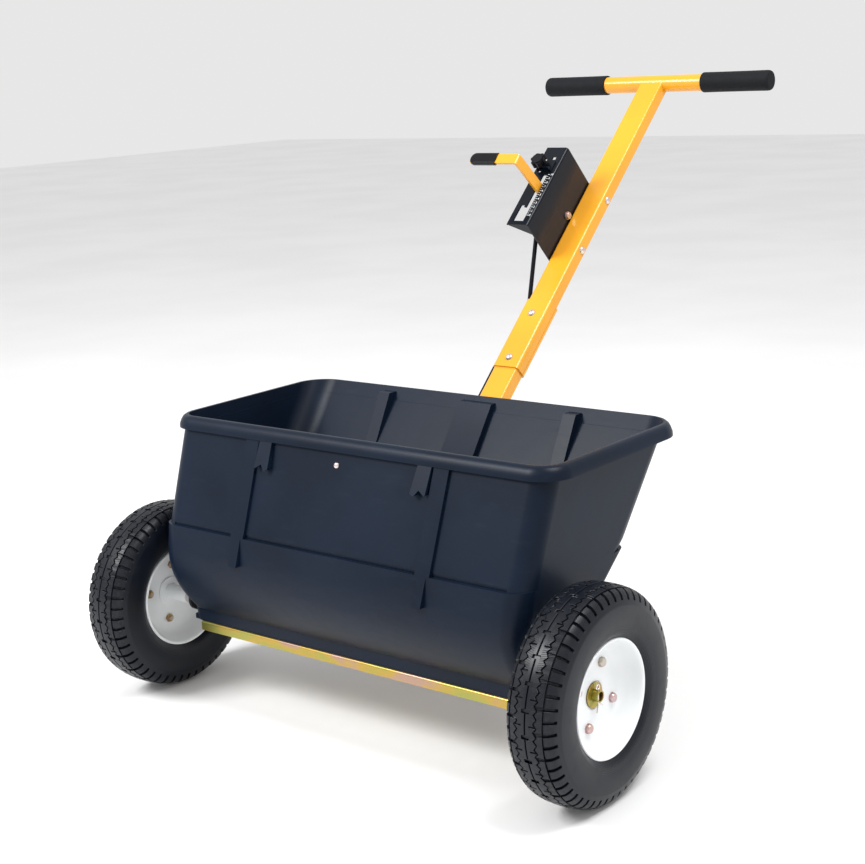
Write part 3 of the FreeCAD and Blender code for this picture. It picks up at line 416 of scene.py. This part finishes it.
def eased_copy(node, edge, angle=35.0, segments=2, flat=0.6, finish=None):
    """A CAD piece with its flats made whole and its sharp edges rounded over."""
    source = NODES[node]
    obj = bpy.data.objects.new(node + "_finished", source.data.copy())
    bpy.context.scene.collection.objects.link(obj)
    pick(obj)
    bpy.ops.object.mode_set(mode="EDIT")
    bpy.ops.mesh.select_all(action="SELECT")
    bpy.ops.mesh.customdata_custom_splitnormals_clear()
    bpy.ops.mesh.remove_doubles(threshold=WELD)
    bpy.ops.mesh.dissolve_limited(angle_limit=radians(flat), delimit=set())
    bpy.ops.object.mode_set(mode="OBJECT")
    modifier(obj, "BEVEL", width=edge, segments=segments, limit_method="ANGLE", angle_limit=radians(angle),
             use_clamp_overlap=True, miter_outer="MITER_ARC", loop_slide=True)
    pick(obj)
    bpy.ops.object.shade_smooth_by_angle(angle=radians(32))
    modifier(obj, "WEIGHTED_NORMAL", mode="FACE_AREA", weight=80, keep_sharp=True)
    return settle(obj, node + "_finished", body_of(node), node, finish=finish)


def outline(points, centre=(0.0, 0.0, 0.0)):
    """A closed loop drawn point by point, each point at x and a height above centre."""
    clear_selection()
    start = Vector(centre) + Vector((points[0][0], 0.0, points[0][1]))
    bpy.ops.mesh.primitive_plane_add(size=0.001, location=start)
    obj = bpy.context.object
    bpy.ops.object.transform_apply(location=True, rotation=False, scale=False)
    bpy.ops.object.mode_set(mode="EDIT")
    bpy.ops.mesh.select_mode(type="VERT")
    bpy.ops.mesh.select_all(action="SELECT")
    bpy.ops.mesh.merge(type="CENTER")
    for first, last in zip(points, points[1:] + points[:1]):
        step = (last[0] - first[0], 0.0, last[1] - first[1])
        bpy.ops.mesh.extrude_vertices_move(TRANSFORM_OT_translate={"value": step})
    bpy.ops.mesh.select_all(action="SELECT")
    bpy.ops.mesh.remove_doubles(threshold=WELD)
    bpy.ops.object.mode_set(mode="OBJECT")
    return obj


def turned(points, steps=96, centre=(0.0, 0.0, 0.0)):
    """Closed outline of (x, radius) points turned round the X axis through centre."""
    obj = outline(points, centre)
    bpy.ops.object.mode_set(mode="EDIT")
    bpy.ops.mesh.select_all(action="SELECT")
    bpy.ops.mesh.spin(steps=steps, angle=tau, center=centre, axis=(1, 0, 0))
    bpy.ops.mesh.select_all(action="SELECT")
    bpy.ops.mesh.remove_doubles(threshold=WELD)
    bpy.ops.mesh.normals_make_consistent(inside=False)
    bpy.ops.object.mode_set(mode="OBJECT")
    bpy.ops.object.shade_smooth_by_angle(angle=radians(40))
    return obj


def shift(obj, chosen, step):
    """Moves the chosen points of a mesh by a step."""
    bpy.ops.object.mode_set(mode="EDIT")
    bpy.ops.mesh.select_all(action="DESELECT")
    bpy.ops.object.mode_set(mode="OBJECT")
    for vertex in obj.data.vertices:
        vertex.select = chosen(vertex.co)
    bpy.ops.object.mode_set(mode="EDIT")
    bpy.ops.transform.translate(value=step)
    bpy.ops.object.mode_set(mode="OBJECT")


def moved_copy(obj, place):
    """A copy with its own mesh, carried to another place."""
    other = bpy.data.objects.new(obj.name, obj.data.copy())
    bpy.context.scene.collection.objects.link(other)
    other.data.transform(place)
    return other


def joined(pieces):
    clear_selection()
    for piece in pieces:
        piece.select_set(True)
    bpy.context.view_layer.objects.active = pieces[0]
    if len(pieces) > 1:
        bpy.ops.object.join()
    return bpy.context.object


# ---------- tyres ----------

# Half of the tyre's outline, from the middle of the tread to the bead: x and radius.
TYRE_HALF = [(0.0012, 0.1650), (0.0065, 0.1649), (0.0150, 0.1643), (0.0175, 0.1640), (0.0270, 0.1622),
             (0.0295, 0.1614), (0.0355, 0.1576), (0.0395, 0.1522), (0.0420, 0.1460), (0.0434, 0.1410),
             (0.0441, 0.1392), (0.0444, 0.1374), (0.0450, 0.1300), (0.0454, 0.1220), (0.0451, 0.1140),
             (0.0440, 0.1060), (0.0432, 0.1024), (0.0429, 0.1006), (0.0412, 0.0970), (0.0380, 0.0926),
             (0.0345, 0.0894), (0.0325, 0.0874), (0.0305, 0.0856), (0.0270, 0.0850)]
# Cuts of one pitch of the tread, as shares of the pitch.
TREAD_ROWS = [0.0, 0.075, 0.15, 0.20, 0.34, 0.42, 0.5, 0.56, 0.65, 0.70, 0.84, 0.92, 1.0]
ZIGZAG = {0.0: -1, 0.15: 1, 0.34: -1, 0.5: 1, 0.65: -1, 0.84: 1, 1.0: -1}
ZIGZAG_REACH = 0.0026
NOTCHES = ((0.20, 0.34), (0.70, 0.84))
GROOVE_SLOPE = 0.0003
NOTCH_SLOPE = 0.0005
SAME_PLACE = 0.0004
CROWN_RADIUS = 0.158


def zigzag_at(share):
    marks = sorted(ZIGZAG)
    for first, last in zip(marks, marks[1:]):
        if first - 1e-6 <= share <= last + 1e-6:
            along = (share - first) / (last - first)
            return ZIGZAG[first] * (1 - along) + ZIGZAG[last] * along
    raise ValueError("share is outside the pitch")


def between_lugs(share):
    return any(first < share < last for first, last in NOTCHES)


def in_groove(x, share):
    """Whether a face of the tread, at x across and at a share of the pitch, lies in a groove."""
    side = abs(x)
    if side < 0.0012:
        return True
    if side < 0.0065:
        return share < 0.15
    if side < 0.0150:
        return 0.5 < share < 0.56
    if side < 0.0175:
        return True
    if side < 0.0270:
        first, last = NOTCHES[0] if x > 0 else NOTCHES[1]
        return first < share < last
    if side < 0.0295:
        return not between_lugs(share)
    return False


def in_notch(x, share, radius):
    """Whether a face lies between two shoulder lugs."""
    return abs(x) > 0.0270 and radius > 0.1435 and between_lugs(share)


def sink(obj, chosen, depth, slope):
    """Insets the chosen faces and pushes them in."""
    bpy.ops.mesh.select_all(action="DESELECT")
    bpy.ops.object.mode_set(mode="OBJECT")
    for polygon in obj.data.polygons:
        polygon.select = chosen(polygon)
    bpy.ops.object.mode_set(mode="EDIT")
    bpy.ops.mesh.inset(thickness=slope, depth=-depth, use_boundary=False, use_even_offset=True)


def tread_sector(pitches, groove, lug):
    """One pitch of the tyre: outline swept row by row, then grooves sunk into it."""
    obj = outline([(-x, r) for x, r in TYRE_HALF[::-1]] + TYRE_HALF)
    pitch = tau / pitches
    bpy.ops.object.mode_set(mode="EDIT")
    bpy.ops.mesh.select_all(action="SELECT")
    for first, last in zip(TREAD_ROWS, TREAD_ROWS[1:]):
        bpy.ops.mesh.spin(steps=1, angle=(last - first) * pitch, center=(0, 0, 0), axis=(1, 0, 0))
    bpy.ops.mesh.select_all(action="DESELECT")
    bpy.ops.object.mode_set(mode="OBJECT")
    if sum(polygon.normal.dot(polygon.center) for polygon in obj.data.polygons) < 0:
        obj.data.flip_normals()
    way = 1.0 if max(atan2(-v.co.y, v.co.z) for v in obj.data.vertices) > pitch / 2 else -1.0

    def share_of(point):
        return min(max(way * atan2(-point.y, point.z) / pitch, 0.0), 1.0)

    home = {}
    for polygon in obj.data.polygons:
        middle = sum((obj.data.vertices[i].co for i in polygon.vertices), Vector()) / len(polygon.vertices)
        home[polygon.index] = (middle.x, share_of(middle), (middle.y ** 2 + middle.z ** 2) ** 0.5)
    bpy.ops.object.mode_set(mode="EDIT")
    bpy.ops.mesh.select_mode(type="VERT")
    bpy.ops.mesh.select_all(action="DESELECT")
    bpy.ops.object.mode_set(mode="OBJECT")
    for row in TREAD_ROWS:
        for side in (-1, 1):
            shift(obj, lambda co: 0.0148 < co.x * side < 0.0177 and abs(share_of(co) - row) < 0.01,
                  (ZIGZAG_REACH * zigzag_at(row) * side, 0.0, 0.0))
    pick(obj)
    bpy.ops.object.mode_set(mode="EDIT")
    bpy.ops.mesh.select_mode(type="FACE")
    grooves = {i for i, (x, share, radius) in home.items() if radius > CROWN_RADIUS and in_groove(x, share)}
    notches = {i for i, (x, share, radius) in home.items() if in_notch(x, share, radius)}
    spots = [obj.data.polygons[i].center.copy() for i in notches]
    sink(obj, lambda polygon: polygon.index in grooves, groove, GROOVE_SLOPE)
    sink(obj, lambda polygon: any((polygon.center - spot).length < SAME_PLACE for spot in spots), lug,
         NOTCH_SLOPE)
    bpy.ops.object.mode_set(mode="OBJECT")
    return obj


def make_tyre(pitches, groove, lug):
    clear_selection()
    obj = tread_sector(pitches, groove, lug)
    pick(obj)
    bpy.ops.object.mode_set(mode="EDIT")
    bpy.ops.mesh.select_mode(type="VERT")
    bpy.ops.mesh.select_all(action="SELECT")
    bpy.ops.mesh.spin(steps=pitches - 1, dupli=True, angle=tau * (pitches - 1) / pitches, center=(0, 0, 0),
                      axis=(1, 0, 0))
    bpy.ops.mesh.select_all(action="SELECT")
    bpy.ops.mesh.remove_doubles(threshold=0.00002)
    bpy.ops.mesh.normals_make_consistent(inside=False)
    bpy.ops.object.mode_set(mode="OBJECT")
    modifier(obj, "BEVEL", width=0.00045, segments=1, limit_method="ANGLE", angle_limit=radians(38),
             use_clamp_overlap=True)
    pick(obj)
    bpy.ops.object.shade_smooth_by_angle(angle=radians(30))
    return obj


class SPREADER_OT_tyres(bpy.types.Operator):
    """Two tyres with a grooved block tread and shoulder lugs"""
    bl_idname = "spreader.tyres"
    bl_label = "Tyres"

    def execute(self, context):
        sizes = context.scene.spreader_sizes
        first = make_tyre(sizes.pitches, sizes.groove, sizes.lug)
        for side, name, body in ((1, "right", "drive_axle"), (-1, "left", "left_wheel")):
            place = Matrix.Translation((side * WHEEL_X, AXLE_Y, AXLE_Z))
            tyre = moved_copy(first, place)
            settle(tyre, "treaded_tyre_" + name, body, "tyre_" + name)
        bpy.data.objects.remove(first)
        return {"FINISHED"}


# ---------- rims ----------

RIM_OUTER = [(0.0345, 0.0897), (0.0362, 0.0902), (0.0376, 0.0892), (0.0378, 0.0876), (0.0370, 0.0860),
             (0.0352, 0.0846), (0.0320, 0.0836), (0.0280, 0.0826), (0.0220, 0.0806), (0.0165, 0.0778),
             (0.0122, 0.0738), (0.0092, 0.0690), (0.0075, 0.0636), (0.0067, 0.0576), (0.0065, 0.0520),
             (0.0065, 0.0300), (0.0065, 0.0222), (0.0061, 0.0215), (0.0046, 0.0215), (0.0046, 0.0520),
             (0.0050, 0.0584), (0.0059, 0.0648), (0.0078, 0.0706), (0.0110, 0.0758), (0.0156, 0.0800),
             (0.0214, 0.0829), (0.0276, 0.0846), (0.0330, 0.0858), (0.0345, 0.0870), (0.0350, 0.0882)]
RIM_INNER = [(-0.0345, 0.0897), (-0.0362, 0.0902), (-0.0376, 0.0892), (-0.0378, 0.0876), (-0.0370, 0.0860),
             (-0.0352, 0.0846), (-0.0300, 0.0834), (-0.0220, 0.0820), (-0.0140, 0.0798), (-0.0080, 0.0766),
             (-0.0036, 0.0724), (-0.0006, 0.0672), (0.0013, 0.0614), (0.0022, 0.0556), (0.0025, 0.0500),
             (0.0025, 0.0300), (0.0025, 0.0142), (0.0044, 0.0142), (0.0044, 0.0500), (0.0041, 0.0562),
             (0.0031, 0.0624), (0.0011, 0.0684), (-0.0021, 0.0740), (-0.0068, 0.0786), (-0.0132, 0.0820),
             (-0.0216, 0.0843), (-0.0296, 0.0856), (-0.0335, 0.0862), (-0.0345, 0.0872), (-0.0350, 0.0882)]


class SPREADER_OT_rims(bpy.types.Operator):
    """Pressed two-piece rims with a rolled edge and a soft dish"""
    bl_idname = "spreader.rims"
    bl_label = "Rims"

    def execute(self, context):
        for side, name, body in ((1, "right", "drive_axle"), (-1, "left", "left_wheel")):
            for half, outline in (("outer", RIM_OUTER), ("inner", RIM_INNER)):
                points = [(side * (x + WHEEL_X), radius) for x, radius in outline]
                rim = turned(points, 144, (0.0, AXLE_Y, AXLE_Z))
                settle(rim, "rim_" + half + "_pressed_" + name, body, "rim_" + half + "_" + name)
        return {"FINISHED"}


# ---------- tub ----------

class SPREADER_OT_tub(bpy.types.Operator):
    """Moulded tub with rounded edges"""
    bl_idname = "spreader.tub"
    bl_label = "Tub"

    def execute(self, context):
        eased_copy("hopper", context.scene.spreader_sizes.tub_edge, angle=40.0, segments=2, flat=0.25)
        return {"FINISHED"}


# ---------- metalwork with eased edges ----------

PRESSED = ["bottom_plate", "shutter", "shutter_guides", "control_bracket", "rate_stop", "rear_bracket",
           "splice_sleeve", "lever", "lever_grip", "rate_knob", "upper_handle_tube", "lower_handle_tube",
           "hub_left", "hub_right", "axle_washer_left", "axle_washer_right", "rod_clips"]
HARDWARE = ["wheel_bolts_left", "wheel_bolts_right", "wheel_nuts_left", "wheel_nuts_right", "bracket_nuts",
            "splice_nuts", "stand_bolts", "stand_nuts", "hopper_bolts", "hopper_nuts", "front_nut",
            "rear_bracket_bolts", "plate_screws", "lever_pivot"]


class SPREADER_OT_metalwork(bpy.types.Operator):
    """Pressed, cut and turned pieces with their edges rounded over"""
    bl_idname = "spreader.metalwork"
    bl_label = "Metalwork"

    def execute(self, context):
        edge = context.scene.spreader_sizes.metal_edge
        for node in PRESSED:
            eased_copy(node, edge * 2 if node == "rate_knob" else edge)
        for node in HARDWARE:
            rosy = node.startswith("wheel_bolts") or node == "lever_pivot"
            eased_copy(node, edge * 0.6, segments=1, finish="rose_zinc" if rosy else None)
        return {"FINISHED"}


# ---------- grips and round-headed bolts ----------

class SPREADER_OT_grips(bpy.types.Operator):
    """Foam sleeves on the T bar, closed and rounded at their outer ends"""
    bl_idname = "spreader.grips"
    bl_label = "Grips"

    def execute(self, context):
        outline = [(0.1080, 0.0162), (0.1080, 0.0176), (0.1086, 0.0186), (0.1098, 0.0190), (0.1450, 0.0188),
                   (0.2050, 0.0188), (0.2420, 0.0190), (0.2462, 0.0187), (0.2488, 0.0174), (0.2498, 0.0152),
                   (0.2500, 0.0120), (0.2500, 0.0), (0.2464, 0.0), (0.2464, 0.0162)]
        for side, name in ((1, "right"), (-1, "left")):
            points = [(side * x, radius) for x, radius in outline]
            grip = turned(points, 64, (0.0, BAR_Y, BAR_Z))
            settle(grip, "foam_grip_" + name, "chassis", "grip_" + name)
        return {"FINISHED"}


def round_head(head_at, axis, radius, height, shank, length):
    """Round-headed bolt whose head bears at a point and whose shank runs along axis."""
    outline = [(-height, 0.0), (-height * 0.97, radius * 0.30), (-height * 0.84, radius * 0.60),
               (-height * 0.58, radius * 0.84), (-height * 0.25, radius * 0.97), (-0.0002, radius),
               (0.0, radius * 0.97), (0.0, shank), (length, shank), (length + 0.0004, shank * 0.8),
               (length + 0.0004, 0.0)]
    obj = turned(outline, 32)
    axis = Vector(axis).normalized()
    turn = ACROSS.rotation_difference(axis).to_matrix().to_4x4()
    obj.data.transform(Matrix.Translation(head_at) @ turn)
    return obj


class SPREADER_OT_round_bolts(bpy.types.Operator):
    """Round-headed bolts that show on the column and on the tub's front"""
    bl_idname = "spreader.round_bolts"
    bl_label = "Round bolts"

    def execute(self, context):
        down = -OFF
        head = (BOLT_HEAD_R, BOLT_HEAD_HIGH, BOLT_SHANK_R)
        splice = [round_head(on_column(0, s, SLEEVE_WALL), down, *head, 0.040) for s in SPLICE_BOLT_S]
        settle(joined(splice), "splice_bolts_round", "chassis", "splice_bolts")
        side = [round_head(on_column(TUBE_SIDE_X, s, TUBE_MIDDLE_N), -ACROSS, *head, 0.060)
                for s in BRACKET_BOLT_S]
        settle(joined(side), "bracket_bolts_round", "chassis", "bracket_bolts")
        front = round_head(FRONT_BOLT_AT, FRONT_WALL_INWARD, 0.0052, 0.0034, 0.003, 0.012)
        settle(front, "front_bolt_round", "chassis", "front_bolt")
        return {"FINISHED"}


# ---------- printed scale ----------

class SPREADER_OT_scale(bpy.types.Operator):
    """White tick marks and numbers printed beside the lever's slot"""
    bl_idname = "spreader.scale"
    bl_label = "Printed scale"

    def execute(self, context):
        basis = Matrix((ACROSS, ALONG, OFF)).transposed().to_4x4()
        marks = []

        def lay(mark, x, i):
            """Carries a mark onto the panel, level with tick i."""
            at = on_column(x, FIRST_TICK_S + TICK_PITCH * i, PANEL_N + PRINT_THICK / 2)
            mark.data.transform(Matrix.Translation(at) @ basis)
            marks.append(mark)

        for i in range(TICKS):
            length = LONG_TICK if i % 2 == 0 else SHORT_TICK
            clear_selection()
            bpy.ops.mesh.primitive_cube_add(size=1.0, location=(0, 0, 0))
            tick = bpy.context.object
            tick.data.transform(Matrix.Diagonal((length, TICK_WIDE, PRINT_THICK, 1.0)))
            lay(tick, TICK_X + length / 2, i)
        for i in range(0, TICKS, 2):
            clear_selection()
            bpy.ops.object.text_add(location=(0, 0, 0))
            number = bpy.context.object
            number.data.body = str(i // 2)
            number.data.size = NUMBER_HIGH
            number.data.extrude = PRINT_THICK / 2
            number.data.align_x = "LEFT"
            number.data.align_y = "CENTER"
            bpy.ops.object.convert(target="MESH")
            lay(bpy.context.object, NUMBER_X, i)
        settle(joined(marks), "printed_scale", "chassis", slot="white_paint")
        return {"FINISHED"}


# ---------- finishes ----------

class SPREADER_OT_finishes(bpy.types.Operator):
    """Makes every material and puts each CAD piece in its own"""
    bl_idname = "spreader.finishes"
    bl_label = "Finishes"

    def execute(self, context):
        colours = context.scene.spreader_colours
        MATERIALS.update({
            "hopper_plastic": tub_plastic(tuple(colours.tub)),
            "yellow_paint": powder_coat("yellow_paint", tuple(colours.handle), 0.27, 0.25),
            "black_paint": powder_coat("black_paint", tuple(colours.bracket), 0.20, 0.0, 0.22),
            "white_paint": powder_coat("white_paint", tuple(colours.rims), 0.30, 0.2),
            "yellow_zinc": zinc("yellow_zinc", YELLOW_TONES, 0.26),
            "rose_zinc": zinc("rose_zinc", ROSE_TONES, 0.28),
            "bright_zinc": zinc("bright_zinc", BRIGHT_TONES, 0.24),
            "tyre": tyre_rubber(tuple(colours.rubber)),
            "foam": foam(),
            "vinyl": moulded("vinyl", (0.004, 0.004, 0.005), 0.24, 500.0, 0.00004),
            "nylon": moulded("nylon", (0.02, 0.02, 0.022), 0.45),
            "knob_plastic": moulded("knob_plastic", (0.004, 0.004, 0.006), 0.35),
            "rubber": moulded("rubber", (0.012, 0.012, 0.012), 0.65, 700.0, 0.00008),
        })
        for name, obj in NODES.items():
            obj.data.materials.clear()
            obj.data.materials.append(material(slot_of(name)))
        return {"FINISHED"}


# ---------- stage ----------

def light_room(scene):
    world = bpy.data.worlds.new("soft_room")
    scene.world = world
    world.use_nodes = True
    back = world.node_tree.nodes["Background"]
    back.inputs["Color"].default_value = (1.0, 1.0, 1.0, 1.0)
    back.inputs["Strength"].default_value = WORLD_STRENGTH
    for name, (place, size, power) in LAMPS.items():
        light = bpy.data.lights.new(name, "AREA")
        light.size = size
        light.energy = power
        lamp = bpy.data.objects.new(name, light)
        lamp.location = place
        lamp.rotation_euler = (LAMP_AIM - Vector(place)).to_track_quat("-Z", "Y").to_euler()
        scene.collection.objects.link(lamp)


def set_camera(scene):
    data = bpy.data.cameras.new("camera")
    data.lens = CAMERA_LENS
    data.sensor_width = 36.0
    data.sensor_fit = "HORIZONTAL"
    data.clip_end = 100.0
    camera = bpy.data.objects.new("camera", data)
    forward = Vector((-sin(CAMERA_YAW) * cos(CAMERA_PITCH), cos(CAMERA_YAW) * cos(CAMERA_PITCH),
                      -sin(CAMERA_PITCH)))
    level = Vector((cos(CAMERA_YAW), sin(CAMERA_YAW), 0))
    upright = level.cross(forward)
    right = level * cos(CAMERA_ROLL) + upright * sin(CAMERA_ROLL)
    up = upright * cos(CAMERA_ROLL) - level * sin(CAMERA_ROLL)
    turn = Matrix((right, up, -forward)).transposed().to_4x4()
    camera.matrix_world = Matrix.Translation(CAMERA_AT) @ turn
    scene.collection.objects.link(camera)
    scene.camera = camera


class SPREADER_OT_stage(bpy.types.Operator):
    """Pale floor, soft lights and the camera"""
    bl_idname = "spreader.stage"
    bl_label = "Stage"

    def execute(self, context):
        clear_selection()
        bpy.ops.mesh.primitive_plane_add(size=FLOOR_SIZE, location=(0, 0, 0))
        floor = bpy.context.object
        floor.name = "studio_floor"
        floor.data.materials.append(floor_paint())
        light_room(context.scene)
        set_camera(context.scene)
        context.scene.view_settings.view_transform = "Standard"
        return {"FINISHED"}


# ---------- panel and registration ----------

STEPS = (SPREADER_OT_finishes, SPREADER_OT_tub, SPREADER_OT_tyres, SPREADER_OT_rims, SPREADER_OT_metalwork,
         SPREADER_OT_grips, SPREADER_OT_round_bolts, SPREADER_OT_scale, SPREADER_OT_stage)


class SPREADER_PT_panel(bpy.types.Panel):
    """Lists the pieces and their settings"""
    bl_label = "Drop Spreader"
    bl_idname = "SPREADER_PT_panel"
    bl_space_type = "VIEW_3D"
    bl_region_type = "UI"
    bl_category = "Spreader"

    def draw(self, context):
        layout = self.layout
        for group in (context.scene.spreader_colours, context.scene.spreader_sizes):
            box = layout.box()
            for key in group.__annotations__:
                box.prop(group, key)
        for step in STEPS:
            layout.operator(step.bl_idname)


CLASSES = (SpreaderColours, SpreaderSizes) + STEPS + (SPREADER_PT_panel,)


def register():
    for cls in CLASSES:
        bpy.utils.register_class(cls)
    bpy.types.Scene.spreader_colours = PointerProperty(type=SpreaderColours)
    bpy.types.Scene.spreader_sizes = PointerProperty(type=SpreaderSizes)


def unregister():
    del bpy.types.Scene.spreader_sizes
    del bpy.types.Scene.spreader_colours
    for cls in reversed(CLASSES):
        bpy.utils.unregister_class(cls)


def main():
    register()
    bpy.ops.spreader.finishes()
    bpy.ops.spreader.tub()
    bpy.ops.spreader.tyres()
    bpy.ops.spreader.rims()
    bpy.ops.spreader.metalwork()
    bpy.ops.spreader.grips()
    bpy.ops.spreader.round_bolts()
    bpy.ops.spreader.scale()
    bpy.ops.spreader.stage()


if __name__ == "__main__":
    main()
